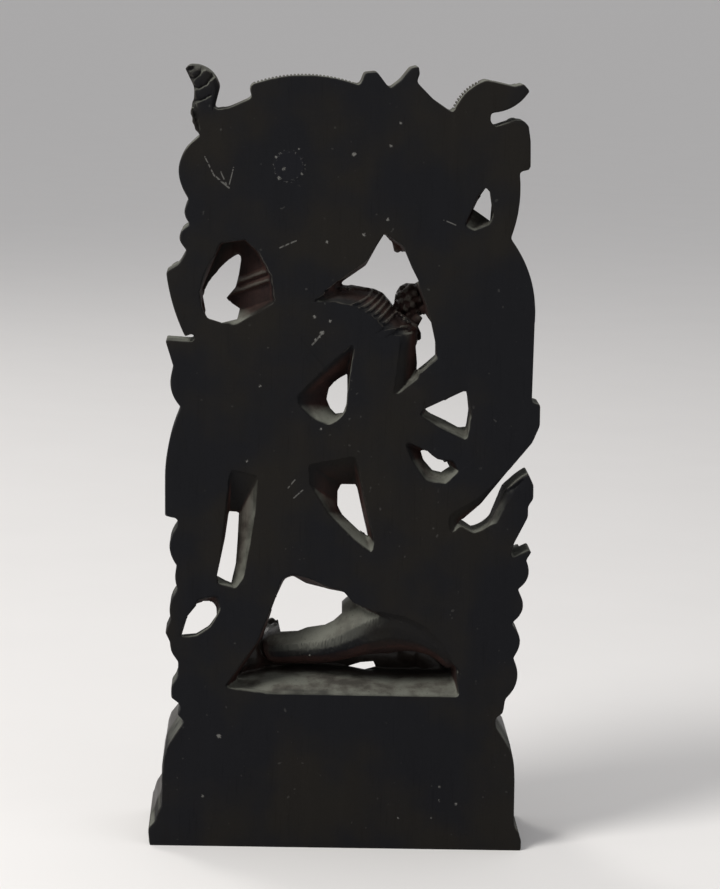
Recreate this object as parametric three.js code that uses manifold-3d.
// Openwork carving of a striding four-armed figure under a leafy canopy, cut with its plinth from
// one block of dark wood. Lengths are in millimetres and angles in degrees.
//
// The block is laid out as it was sawn: on its flat back. Outlines are drawn as seen from behind,
// u to the right and v up, and d is the depth from the flat back towards the carved front.
import * as THREE from 'three';
import { mergeVertices } from 'three/addons/utils/BufferGeometryUtils.js';
import Module from 'manifold-3d';

const wasm = await Module();
wasm.setup();

// Driving dimensions of the block
const BLOCK_DEPTH = 45;
const SLAB_DEPTH = 14;
const PLINTH_TOP = 50.5;
const NECK_HEIGHT = 41;
const CUT_MARGIN = 3;

// Fineness of the round stretches
const ARC_FINENESS = 2;
const LIMB_SIDES = 8;
const LIMB_STEP_LENGTH = 8;
const DOME_SIDES = 10;
const DOME_RINGS = 6;
const SMALL_SIDES = 8;
const SMALL_RINGS = 4;
const MERGE_TOLERANCE = 1e-4;

// Rounded limb end: how far each end ring stands out and how wide it is, as shares of the half width
const LIMB_END_RINGS = [[-0.75, 0.55], [0, 1]];
const LIMB_SIZE_TENSION = 0.3;

// Plinth profile: height, half width at the back, depth, all from the foot up
const PLINTH_PROFILE = [
  [0, 59.5, 45],
  [5, 59.5, 45],
  [8, 57, 43.5],
  [23, 56.8, 43.5],
  [29, 56.4, 43],
  [33, 55.2, 42],
  [37.5, 52.4, 40.5],
  [NECK_HEIGHT, 50, 39],
  [43.5, 50, 39],
  [46, 51.5, 41],
  [PLINTH_TOP, 51.5, 41],
];
const PLINTH_FLARE = 1.6;
const PLINTH_FRONT_BOW = 1.5;
const PLINTH_CORNER = 5;
const CORNER_MID_SHARE = 0.3;
const BOW_SHARE_AT_CORNER = 0.8;

// Outer contour, clockwise from the neck of the plinth. A third number is the rise, outwards, of
// the arc that runs on to the next point; without one the stretch is straight.
const LEFT_LEAVES = [
  [-49.5, NECK_HEIGHT - 4], [-50, 41], [-52.4, 43.4], [-50.5, 46], [-54.4, 48.7], [-54.4, 52.3],
  [-52.3, 55.5], [-52.3, 60.8, 0.8], [-55, 67], [-56.6, 70.1], [-54.8, 74.2, 1.4],
  [-52.7, 84, 0.8], [-53.1, 91.7, 2.6], [-53, 104.7], [-53.2, 107],
];
const LEFT_BLOCK = [
  [-57.2, 107.8], [-57.4, 120.7, 1.2], [-52.6, 142.6, 2.1], [-55.2, 155.5], [-58, 164.1],
  [-48.9, 163.6], [-48.9, 166.5],
];
const LEFT_SCROLL = [
  [-51.7, 165.2, 0.9], [-58, 185.6], [-54, 188], [-51.5, 192.5, 3.1], [-50.4, 200.5, 1.8],
  [-51.1, 208.3, 5.1], [-47.7, 228.6],
];
const TOP_LEFT_BUD = [
  [-50.9, 234.5, 0.7], [-50.1, 239], [-50.1, 243.5], [-53, 249], [-51.8, 250.3],
  [-49.3, 250.3, 1.6], [-42.1, 243.4], [-43.8, 236.5],
];
const CANOPY_ARCH = [
  [-39.2, 237.2], [-32.1, 240.5], [-32.9, 243.6], [-32.1, 244.8, 3], [1.5, 245.1],
];
const CREST = [
  [2.9, 249], [6.7, 249.5], [10.8, 244.3], [14.2, 247], [17.2, 250.9], [19.7, 251.6],
  [20.1, 249.1], [19.2, 246.6], [24.7, 241.2], [30.3, 237.5],
];
const TOP_RIGHT_LEAF = [
  [30.9, 237.6, 1.7], [41, 247.7], [49.8, 245.8], [52.6, 246.8], [54.6, 244.6, 1.8],
  [42.6, 237.5], [42.5, 235], [44, 233.2],
];
const RIGHT_DRUM = [
  [50.5, 235.5], [53, 235.3], [54.6, 233.7], [55.4, 228.8], [55.6, 221], [55.1, 220],
  [52.2, 219.3, 1.3], [50.1, 198.3, 2.6],
];
const RIGHT_BODY = [
  [58.5, 172], [58.4, 146.4], [61.1, 145.9], [61.2, 139], [58.5, 134.2], [50.5, 124.7],
  [42.5, 113.6], [37, 108], [33.5, 108.2],
];
const UPRIGHT_CURL = [
  [40.9, 104.2, -0.8], [46.5, 109], [50, 118, 0.5], [57.5, 123.7], [59.7, 119.7], [59.7, 116.8],
  [57.9, 113.9], [57.3, 110], [53.2, 99.4],
];
const RIGHT_LEAVES = [
  [58.9, 101.2], [59.6, 99], [57.8, 95.7, 2.6], [55.6, 85.9, 2.9], [54, 74.8, 2.6],
  [55, 63.6, 2.6], [53, 50.1], [52.3, 45.2], [49.7, 43.8], [50, 41], [49.5, NECK_HEIGHT - 4],
];

// Openings: the outline on the flat back and the outline that the wall has narrowed to at the
// slab's front, point for point
const OPENINGS = {
  handhold: {
    back: [
      [-47, 179, 1.4], [-41, 193, 1.2], [-29.5, 194.5, 0.6], [-24.6, 176.5], [-33.3, 170.6, 0.6],
      [-44.3, 171, 1],
    ],
    front: [
      [-45.9, 177.5, 0.8], [-41.8, 184.5, 0.8], [-34, 191.5, 0.4], [-25.5, 177], [-33.3, 170.2, 0.6],
      [-44.2, 171.2, 1],
    ],
  },
  canopyHollow: {
    back: [
      [10.4, 199.3], [16.5, 195.3], [24.3, 176], [28.2, 160], [21.5, 154.5], [14, 148.5],
      [18, 153.5], [21.5, 156], [21.6, 169.8], [15.9, 169.5], [9, 166.5], [-2, 172.5],
      [-11, 177.8], [-3, 184.5], [5, 190.5],
    ],
    front: [
      [10.4, 199.3], [16.2, 195.3], [23.9, 176], [27.6, 161.5], [21.7, 156.5], [16, 151.5],
      [18.5, 154.5], [21.5, 157], [21.6, 169.8], [15.9, 169], [9, 166], [-2, 172],
      [-10, 178], [-3, 184.5], [5, 190.5],
    ],
  },
  armpit: {
    back: [
      [1.8, 165], [0.4, 154], [-0.6, 143, 0.8], [-6.2, 138, 0.8], [-14.2, 142.7, 0.6],
      [-16.5, 147], [-7, 157],
    ],
    front: [
      [-0.3, 154.5], [-0.5, 149], [-0.9, 143.2], [-2.5, 141.3], [-4.6, 142.3, 0.4], [-6.7, 146.5],
      [-5.5, 151.3],
    ],
  },
  elbowUpper: {
    back: [[37.3, 150.3], [38.8, 142], [37.7, 133.8], [30, 138.4], [22.3, 142.8], [31, 147]],
    front: [[37.3, 149.9], [38.4, 142.4], [38, 136.3], [31, 140.4], [24.4, 143.8], [31, 146.8]],
  },
  elbowLower: {
    back: [
      [17.8, 133.7], [24, 131], [29.4, 127.5], [34, 127.5], [35.5, 124.7], [31.7, 121],
      [25.3, 122], [20.5, 128.5],
    ],
    front: [
      [22.8, 130.6], [25, 131], [29.4, 127.4], [32.4, 127.6], [32.4, 125.2], [30.2, 123.2],
      [26.5, 124.2], [23.4, 128],
    ],
  },
  shinSide: {
    back: [
      [-36, 125], [-28, 123], [-26.6, 120.5], [-28.2, 102.6], [-33.3, 86.5, 0.8], [-40.6, 86.8],
      [-38.7, 104],
    ],
    front: [
      [-37.2, 110.3], [-35.4, 110.5], [-33.8, 109.8], [-34.9, 97], [-35.3, 87.6, 0.3],
      [-40.3, 90], [-37.9, 102.4],
    ],
  },
  betweenThighs: {
    back: [
      [-9.5, 127], [2.4, 129], [5.5, 115], [9.4, 96], [3, 101.5], [-6, 110.5], [-11.5, 119.5],
    ],
    front: [
      [-2.6, 117.8], [3.2, 120], [5.2, 111.5], [7.7, 102], [4, 104.6], [0.4, 106.8], [-4.3, 113.7],
    ],
  },
  leafEye: {
    back: [
      [-45.3, 81], [-39, 83], [-38.6, 78.4], [-41.5, 72.6], [-46.7, 69.8], [-52, 69.4],
      [-49.6, 75.2],
    ],
    front: [
      [-45, 80.5], [-41.3, 79], [-39.8, 77], [-42, 73.1], [-46.7, 70.2], [-51.3, 69.8],
      [-49.4, 74.8],
    ],
  },
  underLegs: {
    back: [
      [-17, 90], [8.4, 89.9], [18.3, 78.7], [30.1, 67.5], [37.6, 60], [37.8, PLINTH_TOP],
      [-20, PLINTH_TOP], [-37.5, 52.4], [-29, 62], [-24.3, 75],
    ],
    front: [
      [-16, 87.8], [6, 86.5], [15, 77], [28, 65.5], [36, 58.5], [36.5, PLINTH_TOP],
      [-19, PLINTH_TOP], [-33, 51.5], [-26.5, 62], [-21.8, 75],
    ],
  },
  scrollEye: {
    back: [
      [41.7, 214.3], [43.4, 211], [44, 205.5], [42.5, 202], [38, 200.6], [35.6, 201.8],
      [37, 206.5], [39.7, 211.3],
    ],
    front: [
      [41.7, 214], [43.2, 211.5], [44, 206.5], [43, 203.5], [40.2, 205.4], [37.9, 207.1],
      [38.6, 209], [40, 211],
    ],
  },
};

// Clear ways through the whole depth, seen between the limbs: nothing in front crosses them
const CLEAR_WAYS = [
  [[-34.7, 190.2], [-39.1, 188.3], [-43.8, 183], [-46.1, 178.3], [-45.6, 172.6], [-40.5, 169.8],
    [-35.2, 171.2], [-34.9, 173.4], [-39.1, 177.8], [-36.6, 180], [-34.6, 186.1]],
  [[10.4, 198.5], [13, 193.5], [16.5, 192.5], [21, 182.5], [19.6, 184.4], [15.9, 183], [13.6, 178.5],
    [13, 176], [10.3, 180.1], [4.9, 182.2], [-2.1, 182.8], [4.7, 188.8], [7.7, 193.3]],
  [[23.9, 175.5], [26.8, 167.7], [27.3, 162.3], [22, 157.6], [22.2, 165], [23, 167], [21.8, 169.8]],
  [[-0.5, 154], [-6.2, 150.5], [-6.4, 146.4], [-3.9, 141.8], [-0.9, 143]],
  [[37.2, 149.6], [24.6, 143.8], [37.9, 136.5], [38.3, 142.4]],
  [[23.9, 130.7], [23.3, 129.3], [25.7, 125.4], [28.6, 123.4], [31.4, 123.9], [32.3, 127.1],
    [29.4, 127.2], [26.5, 130.3]],
  [[-37, 109.6], [-33.8, 109.4], [-35.1, 96.3], [-35.3, 87.7], [-40.1, 90], [-38, 102.4]],
  [[-2.3, 117.4], [3.1, 119.7], [7.2, 102.9], [0.4, 107], [-4.1, 113.7]],
  [[-45, 80.3], [-40.9, 78.6], [-40, 77], [-42, 73.3], [-46.7, 70.4], [-51, 69.9], [-49.2, 74.8]],
  [[-19.3, 87], [-15.5, 87.4], [-13.7, 86.1], [-3, 84.7], [-0.5, 82.5], [-0.4, 77.6], [-9.4, 73.5],
    [-19.7, 71.5], [-20.4, 74.8], [-22.3, 77.7], [-20.6, 83.6]],
  [[41.7, 213.8], [43.1, 211.9], [44, 206], [43, 203.6], [38.1, 207.1], [40, 210.7]],
];

// Limbs and folds: centre line u, v, d and the half width and half depth there
const BENT_LEG = [
  [12, 121, 20, 9, 9], [2, 127, 25, 8.2, 8.7], [-8, 131, 30, 7.2, 8], [-17, 130.5, 32, 7, 7.6],
  [-20.4, 121, 31, 5.8, 6.6], [-22.8, 108, 27, 6.3, 6.8], [-25.5, 93, 25, 5.4, 6],
  [-29, 77, 23.5, 3.8, 4.6], [-32, 62, 23, 3.2, 3.9], [-32.5, 56, 23, 3.5, 4.1],
];
const STRETCHED_LEG = [
  [12, 121, 20, 11, 9], [17, 105, 22, 9.7, 9.6], [23, 91.5, 25, 7.4, 8.2], [26, 85, 25.5, 7.2, 8],
  [31, 76, 24, 6.6, 7.2], [36, 67.5, 23, 5, 5.8], [40.5, 59.5, 22, 3.6, 4.4],
  [42.5, 55, 22, 3.8, 4.4],
];
const TORSO = [
  [11, 114, 18, 12, 9], [10.5, 123, 19, 12.5, 10], [9.8, 132, 20, 8.8, 8.4], [9.8, 141, 21, 10.4, 9],
  [9.8, 150, 21, 13, 9.6], [9.6, 156, 20, 12.6, 8], [9, 160.5, 19, 5.6, 5.6],
  [8.4, 167, 20, 4.8, 5.2],
];
const RAISED_LEFT_ARM = [
  [1, 154, 20, 5.4, 6], [-8, 159, 23, 4.8, 5.3], [-14, 161.4, 25.4, 4.1, 4.6],
  [-17.5, 163.4, 25.8, 3.9, 4.3], [-22, 167.2, 24.6, 4, 4.2], [-27, 172.6, 21.5, 2.7, 3],
  [-29, 175, 20, 2.7, 3],
];
const LOWERED_LEFT_ARM = [
  [0, 153, 23, 5.4, 5.6], [-7, 155.4, 28, 4.8, 5], [-13.5, 153.6, 31.4, 4, 4.2],
  [-16.6, 150, 32.6, 4, 4.2], [-17.6, 144, 34, 3.8, 3.9], [-18, 139, 35.6, 2.6, 2.7],
];
const RAISED_RIGHT_ARM = [
  [18, 151, 20, 5.2, 6], [26, 151.5, 23, 4.6, 5.1], [32, 153.6, 25, 4, 4.4],
  [35.6, 157, 25.6, 4, 4.2], [38, 164, 26, 3.8, 3.9], [39.4, 171.5, 27, 2.6, 2.8],
];
const LOWERED_RIGHT_ARM = [
  [18.5, 150, 22, 5.2, 5.4], [20, 142, 25, 4.6, 4.9], [21.4, 137, 27, 3.9, 4.2],
  [24.6, 134.6, 27.8, 3.8, 4.1], [31, 132.4, 28, 3.6, 3.8], [37, 130.4, 28, 2.6, 2.8],
];
const SERPENT = [
  [53, 150, 15, 5, 5], [45, 155, 17, 7, 6.5], [43, 164, 18, 7.5, 7], [48, 174, 18, 7.5, 7],
  [51, 184, 18, 7, 7], [48, 194, 18, 6, 6],
];
const FLYING_SASH = [
  [18, 119, 18, 5, 6], [29, 118, 19, 6, 6], [40, 122, 19, 6.4, 6], [49, 131, 18, 6.4, 6],
  [57, 141, 16, 5, 5],
];
const HIP_CLOTH = [
  [-2, 117, 23, 6, 6.5], [5, 114, 25, 6.6, 6.5], [14, 111.5, 26, 6.8, 6.5], [22, 114, 23, 6.2, 6],
];
const SASH = [
  [6, 116, 28, 5, 4.5], [5, 109, 28, 4.4, 4], [9.5, 101, 27, 3.8, 3.4], [9, 93, 24, 4.4, 3.4],
  [6.5, 87.5, 21, 4, 3],
];
const HALO = [
  [-15, 171, 14, 2.4, 4], [-9.5, 185.5, 14, 2.4, 4.6], [0.5, 195.5, 14, 2.4, 5],
  [9.5, 203.5, 14, 2.6, 5], [19.5, 195, 14, 2.4, 5], [26.8, 179, 14, 2.4, 4.6],
  [30.8, 163, 14, 2.4, 4],
];
const SCARF = [
  [-22, 160, 15, 4.5, 4], [-33, 157, 17, 5, 4.5], [-44, 150, 17, 5, 5], [-47, 138, 17, 5, 5],
  [-42, 128, 17, 4.5, 4.5], [-46, 117, 17, 5, 4.5], [-50, 110, 16, 4, 4],
];
const DWARF_BODY = [
  [-17, 62, 22, 6, 9], [-9, 65.5, 21, 8.4, 12], [2, 68, 20, 9.6, 14.5], [13, 67.5, 20, 9.8, 14.5],
  [24, 64, 19.5, 8.6, 12], [31, 59, 20, 6, 8],
];
const DWARF_LIMBS = [
  [[-6, 60, 28, 4, 4], [-9, 55, 33, 3.4, 3.6], [-14, 52.5, 34, 3, 3.2]],
  [[24, 60, 27, 4.6, 4.6], [17, 56, 33, 4, 4], [22, 52.5, 35, 3.4, 3.4]],
  [[27, 58, 14, 4.4, 4.4], [33, 53, 13, 4, 4]],
];
const ARCH_RIM = [
  [-50, 204, 15, 3.2, 5], [-46, 220, 16, 3.2, 6], [-38, 232, 17, 3.2, 7], [-24, 240.5, 17, 3.4, 8],
  [-8, 242.5, 17, 3.4, 8], [8, 240, 17, 3.2, 7], [22, 233, 16, 3.2, 6], [32, 223, 15, 3, 5],
];

// Domes: u, v, d, half length, half width, half depth, turn of the long axis from upright, taper
const BODY_DOMES = {
  head: [7, 172, 22, 10.5, 8.4, 9.5, 0, 0.16],
  hair: [5.6, 172.5, 15.4, 9.2, 12.2, 12, 8, 0],
  bun: [19.4, 175.4, 20, 7.6, 5.4, 6.5, -10, 0],
  chest: [10, 151, 26, 6.5, 10.5, 6.5, 0, 0.1],
};
const DETAIL_DOMES = {
  belly: [10, 134, 26, 6, 7, 5, 0, 0],
  bentFoot: [-33, 53, 29, 3.2, 4, 9, 0, 0],
  stretchedFoot: [43, 53, 28, 3.2, 4.2, 9, 0, 0],
  heldHand: [-30.5, 177.5, 17, 6, 5.4, 7.5, 20, 0.1],
  thumb: [-35.8, 177.2, 17, 3.8, 2, 3, -78, 0.3],
  flame: [-31, 187, 17, 7, 4, 5, 8, 0.55],
  kneeHand: [-18, 135, 36, 3.6, 4, 3.4, 0, 0],
  raisedHand: [40, 176, 28, 4.6, 3.8, 3.8, 0, 0],
  hipHand: [41, 130, 28, 4, 4.2, 3.6, 0, 0],
  dwarfHead: [-22, 60, 27, 7.4, 7, 8, 20, 0.1],
  canopyDrop: [14.8, 196, 16, 3, 2.4, 3, 0, 0],
  earDrop: [21.6, 167, 9, 2, 1.6, 4, 0, 0],
};
const BACKGROUND_LEAVES = {
  serpentHood: [46, 206, 17, 13, 9, 6.5, -12, -0.3],
  leftMedallion: [-50, 123, 13, 14, 7, 7, -4, 0],
  scarfLeaf: [-31, 144, 13, 15, 9, 6, 38, 0.3],
  waistLeaf: [-40, 101, 13, 13, 7, 6, 10, 0.3],
  kneeLeaf: [40, 92, 13, 15, 8, 6, -28, 0.3],
  hipLeaf: [30, 104, 13, 12, 8, 6, -50, 0.3],
};
const SMALL_DRUM = { u: 40, v: 183.5, d: 27, halfHeight: 4.4, endRadius: 4.4, waistRadius: 2.4 };

// Fans of leaves: root of the fan, radius of its tips, first and last direction, leaf count and
// the leaf's half width and half depth
const LEAF_FANS = [
  { root: [-6, 199], tips: 42, from: -62, to: 50, count: 7, width: 6.8, depth: 6 },
  { root: [-6, 201], tips: 22, from: -40, to: 30, count: 3, width: 5.6, depth: 8.5 },
  { root: [-36, 199], tips: 20, from: -84, to: 30, count: 5, width: 5, depth: 6 },
  { root: [28, 208], tips: 25, from: -34, to: 66, count: 5, width: 5.2, depth: 6 },
];
const FAN_ROOT_SHARE = 0.3;
const FAN_TAPER = -0.3;

// Stacks of overlapping leaves up both sides: place, turn and half length of each leaf
const LEAF_STACKS = [
  [-46, 53, -42, 11], [-47, 64, -42, 10], [-47, 92, -36, 11],
  [-51, 150, -14, 12], [-53, 177, -12, 11], [-50, 214, -14, 12], [-47, 240, -8, 10],
  [48, 53, 40, 11], [48.5, 67, 40, 11], [49, 82, 36, 11],
  [50, 97, 26, 11], [54.5, 113, 24, 10], [43, 241, 56, 10], [50, 227, 4, 9],
];
const STACK_LEAF = { width: 0.66, depth: 7, inset: 12, taper: 0.4 };
const PLINTH_PETALS = {
  count: 9, pitch: 11.44, v: 35, d: 40.5, halfLength: 6.4, halfWidth: 5.2, halfDepth: 2.8, taper: 0.3,
};

// Points of an outline with its arcs stepped, in the carver's frame: x is -u. A partner outline is
// stepped on the same stretches, so that the two match point for point.
function outlinePoints(outline, partner = outline) {
  const points = [];
  outline.forEach(([u, v, rise = 0], index) => {
    const [nextU, nextV] = outline[(index + 1) % outline.length];
    const chord = Math.hypot(nextU - u, nextV - v);
    const largestRise = Math.max(Math.abs(rise), Math.abs(partner[index][2] ?? 0));
    const steps = largestRise > 0 ? Math.max(2, Math.round(ARC_FINENESS * Math.sqrt(largestRise))) : 1;
    for (let step = 0; step < steps; step += 1) {
      const along = step / steps;
      const out = 4 * rise * along * (1 - along);
      const pointU = u + (nextU - u) * along - ((nextV - v) / chord) * out;
      const pointV = v + (nextV - v) * along + ((nextU - u) / chord) * out;
      points.push(new THREE.Vector2(-pointU, pointV));
    }
  });
  return points;
}

// A closed geometry as a solid for joining and cutting
function solid(geometry) {
  geometry.deleteAttribute('normal');
  geometry.deleteAttribute('uv');
  const merged = mergeVertices(geometry, MERGE_TOLERANCE);
  return new wasm.Manifold(new wasm.Mesh({
    numProp: 3,
    vertProperties: Float32Array.from(merged.attributes.position.array),
    triVerts: Uint32Array.from(merged.index.array),
  }));
}

function joined(solids) {
  return solids.reduce((whole, next) => whole.add(next));
}

// Straight-walled block over an outline, from one depth to another
function prism(points, fromDepth, toDepth) {
  const shape = new THREE.Shape(points);
  const geometry = new THREE.ExtrudeGeometry(shape, {
    depth: toDepth - fromDepth, bevelEnabled: false, curveSegments: 1,
  });
  geometry.translate(0, 0, fromDepth);
  return solid(geometry);
}

// Skin over a row of rings with equal point counts, closed by the given end triangles and turned
// so that its faces point out
function skinned(rings, endTriangles) {
  const count = rings[0].length;
  const positions = rings.flat().flatMap((point) => [point.x, point.y, point.z]);
  const triangles = [];
  for (let ring = 0; ring < rings.length - 1; ring += 1) {
    for (let side = 0; side < count; side += 1) {
      const a = ring * count + side;
      const b = ring * count + ((side + 1) % count);
      triangles.push(a, b, b + count, a, b + count, a + count);
    }
  }
  const last = (rings.length - 1) * count;
  endTriangles.forEach(([a, b, c]) => {
    triangles.push(a, c, b);
    triangles.push(last + a, last + b, last + c);
  });
  const shape = (order) => {
    const geometry = new THREE.BufferGeometry();
    geometry.setAttribute('position', new THREE.Float32BufferAttribute(positions, 3));
    geometry.setIndex(order);
    return solid(geometry);
  };
  const body = shape(triangles);
  return body.volume() > 0 ? body : shape([...triangles].reverse());
}

// Opening whose wall narrows from the outline on the back to the one at the slab's front
function taperedOpening({ back, front }) {
  const atDepth = (points, depth) => points.map((point) => new THREE.Vector3(point.x, point.y, depth));
  const backPoints = outlinePoints(back, front);
  const frontPoints = outlinePoints(front, back);
  const rings = [
    atDepth(backPoints, -CUT_MARGIN),
    atDepth(backPoints, 0),
    atDepth(frontPoints, SLAB_DEPTH),
    atDepth(frontPoints, SLAB_DEPTH + CUT_MARGIN),
  ];
  return skinned(rings, THREE.ShapeUtils.triangulateShape(backPoints, []));
}

// Round-ended limb along a smooth curve through its stations
function limb(stations) {
  const centres = stations.map(([u, v, d]) => new THREE.Vector3(-u, v, d));
  const radii = stations.map(([, , , width, depth]) => new THREE.Vector3(width, depth, 0));
  const path = new THREE.CatmullRomCurve3(centres, false, 'centripetal');
  const sizes = new THREE.CatmullRomCurve3(radii, false, 'catmullrom', LIMB_SIZE_TENSION);
  const steps = Math.ceil(path.getLength() / LIMB_STEP_LENGTH);
  const depthAxis = new THREE.Vector3(0, 0, 1);
  const rings = [];
  const addRing = (along, shift, share) => {
    const tangent = path.getTangent(along);
    const size = sizes.getPoint(along);
    const acrossAxis = new THREE.Vector3().crossVectors(depthAxis, tangent).normalize();
    const outAxis = new THREE.Vector3().crossVectors(tangent, acrossAxis).normalize();
    const centre = path.getPoint(along).addScaledVector(tangent, shift * size.x);
    const ring = [];
    for (let side = 0; side < LIMB_SIDES; side += 1) {
      const angle = (side / LIMB_SIDES) * 2 * Math.PI;
      ring.push(centre.clone()
        .addScaledVector(acrossAxis, Math.cos(angle) * size.x * share)
        .addScaledVector(outAxis, Math.sin(angle) * size.y * share));
    }
    rings.push(ring);
  };
  LIMB_END_RINGS.forEach(([shift, share]) => addRing(0, shift, share));
  for (let step = 1; step < steps; step += 1) {
    addRing(step / steps, 0, 1);
  }
  [...LIMB_END_RINGS].reverse().forEach(([shift, share]) => addRing(1, -shift, share));
  const fan = [];
  for (let side = 1; side < LIMB_SIDES - 1; side += 1) {
    fan.push([0, side, side + 1]);
  }
  return skinned(rings, fan);
}

// Egg-shaped dome whose long axis turns in the plane of the back; the taper narrows its top
function dome([u, v, d, length, width, depth, turn, taper], sides = SMALL_SIDES, rings = SMALL_RINGS) {
  const geometry = new THREE.SphereGeometry(1, sides, rings);
  const place = geometry.attributes.position;
  for (let index = 0; index < place.count; index += 1) {
    const narrowing = 1 - taper * place.getY(index);
    place.setX(index, place.getX(index) * narrowing);
  }
  geometry.scale(width, length, depth);
  geometry.rotateZ(THREE.MathUtils.degToRad(turn));
  geometry.translate(-u, v, d);
  return solid(geometry);
}

// Leaves spread like a fan; directions are from upright, positive to the right seen from behind
function leafFan({ root, tips, from, to, count, width, depth }) {
  const leaves = [];
  for (let index = 0; index < count; index += 1) {
    const direction = from + ((to - from) * index) / (count - 1);
    const radians = THREE.MathUtils.degToRad(direction);
    const middle = (tips * (1 + FAN_ROOT_SHARE)) / 2;
    const halfLength = (tips * (1 - FAN_ROOT_SHARE)) / 2;
    const u = root[0] + Math.sin(radians) * middle;
    const v = root[1] + Math.cos(radians) * middle;
    leaves.push(dome([u, v, SLAB_DEPTH, halfLength, width, depth, direction, FAN_TAPER]));
  }
  return joined(leaves);
}

function leafStacks() {
  const { width, depth, inset, taper } = STACK_LEAF;
  return joined(LEAF_STACKS.map(([u, v, turn, halfLength]) => (
    dome([u, v, inset, halfLength, halfLength * width, depth, turn, taper])
  )));
}

// Hourglass drum held in the raised hand
function smallDrum() {
  const { u, v, d, halfHeight, endRadius, waistRadius } = SMALL_DRUM;
  const profile = [
    new THREE.Vector2(0, -halfHeight),
    new THREE.Vector2(endRadius, -halfHeight),
    new THREE.Vector2(waistRadius, 0),
    new THREE.Vector2(endRadius, halfHeight),
    new THREE.Vector2(0, halfHeight),
  ];
  const geometry = new THREE.LatheGeometry(profile, DOME_SIDES);
  geometry.translate(-u, v, d);
  return solid(geometry);
}

// Plan of the plinth at one height: flat back, sides that flare a little to the front, round
// front corners and a slightly bowed front
function plinthRing([height, halfWidth, depth]) {
  const frontHalf = halfWidth + PLINTH_FLARE;
  const cornerMid = PLINTH_CORNER * CORNER_MID_SHARE;
  const bowAtCorner = PLINTH_FRONT_BOW * BOW_SHARE_AT_CORNER;
  const plan = [
    [-halfWidth, 0],
    [-frontHalf, depth - PLINTH_CORNER],
    [-frontHalf + cornerMid, depth - cornerMid],
    [-frontHalf + PLINTH_CORNER, depth - bowAtCorner],
    [0, depth],
    [frontHalf - PLINTH_CORNER, depth - bowAtCorner],
    [frontHalf - cornerMid, depth - cornerMid],
    [frontHalf, depth - PLINTH_CORNER],
    [halfWidth, 0],
  ];
  return plan.map(([x, d]) => new THREE.Vector3(x, height, d));
}

function plinth() {
  const rings = PLINTH_PROFILE.map(plinthRing);
  const fan = [];
  for (let side = 1; side < rings[0].length - 1; side += 1) {
    fan.push([0, side, side + 1]);
  }
  const body = skinned(rings, fan);
  const { count, pitch, v, d, halfLength, halfWidth, halfDepth, taper } = PLINTH_PETALS;
  const petals = [];
  for (let index = 0; index < count; index += 1) {
    const u = (index - (count - 1) / 2) * pitch;
    petals.push(dome([u, v, d, halfLength, halfWidth, halfDepth, 0, taper]));
  }
  return body.add(joined(petals));
}

const CONTOUR = outlinePoints([
  ...LEFT_LEAVES, ...LEFT_BLOCK, ...LEFT_SCROLL, ...TOP_LEFT_BUD, ...CANOPY_ARCH, ...CREST,
  ...TOP_RIGHT_LEAF, ...RIGHT_DRUM, ...RIGHT_BODY, ...UPRIGHT_CURL, ...RIGHT_LEAVES,
]);

function slab() {
  const openings = joined(Object.values(OPENINGS).map(taperedOpening));
  return prism(CONTOUR, 0, SLAB_DEPTH).subtract(openings);
}

function figure() {
  const limbs = [
    BENT_LEG, STRETCHED_LEG, TORSO, RAISED_LEFT_ARM, LOWERED_LEFT_ARM, RAISED_RIGHT_ARM,
    LOWERED_RIGHT_ARM, HIP_CLOTH, SASH, DWARF_BODY, ...DWARF_LIMBS,
  ].map(limb);
  const bodies = Object.values(BODY_DOMES).map((place) => dome(place, DOME_SIDES, DOME_RINGS));
  const details = Object.values(DETAIL_DOMES).map((place) => dome(place));
  return joined([...limbs, ...bodies, ...details, smallDrum()]);
}

function foliage() {
  const bands = [SERPENT, FLYING_SASH, SCARF, HALO, ARCH_RIM].map(limb);
  const leaves = Object.values(BACKGROUND_LEAVES).map((place) => dome(place));
  return joined([...LEAF_FANS.map(leafFan), leafStacks(), ...bands, ...leaves]);
}

// What stands in front of the slab, kept off the clear ways, its leaves inside the block's contour
function frontRelief() {
  const clearWays = joined(CLEAR_WAYS.map((outline) => prism(
    outlinePoints(outline), -CUT_MARGIN, BLOCK_DEPTH + CUT_MARGIN,
  )));
  const within = prism(CONTOUR, CUT_MARGIN, BLOCK_DEPTH);
  return figure().add(foliage().intersect(within)).subtract(clearWays);
}

function carving() {
  const whole = plinth().add(slab()).add(frontRelief());
  const mesh = whole.getMesh();
  const geometry = new THREE.BufferGeometry();
  geometry.setAttribute('position', new THREE.BufferAttribute(mesh.vertProperties, 3));
  geometry.setIndex(new THREE.BufferAttribute(mesh.triVerts, 1));
  geometry.rotateX(Math.PI / 2);
  geometry.translate(0, BLOCK_DEPTH / 2, 0);
  return geometry;
}

const ebonisedWood = new THREE.MeshStandardMaterial({
  name: 'ebonised_wood', color: 0x34322f, roughness: 0.55, metalness: 0,
});
const block = new THREE.Mesh(carving(), ebonisedWood);
block.name = 'carving';

const object = new THREE.Group();
object.add(block);
export default object;
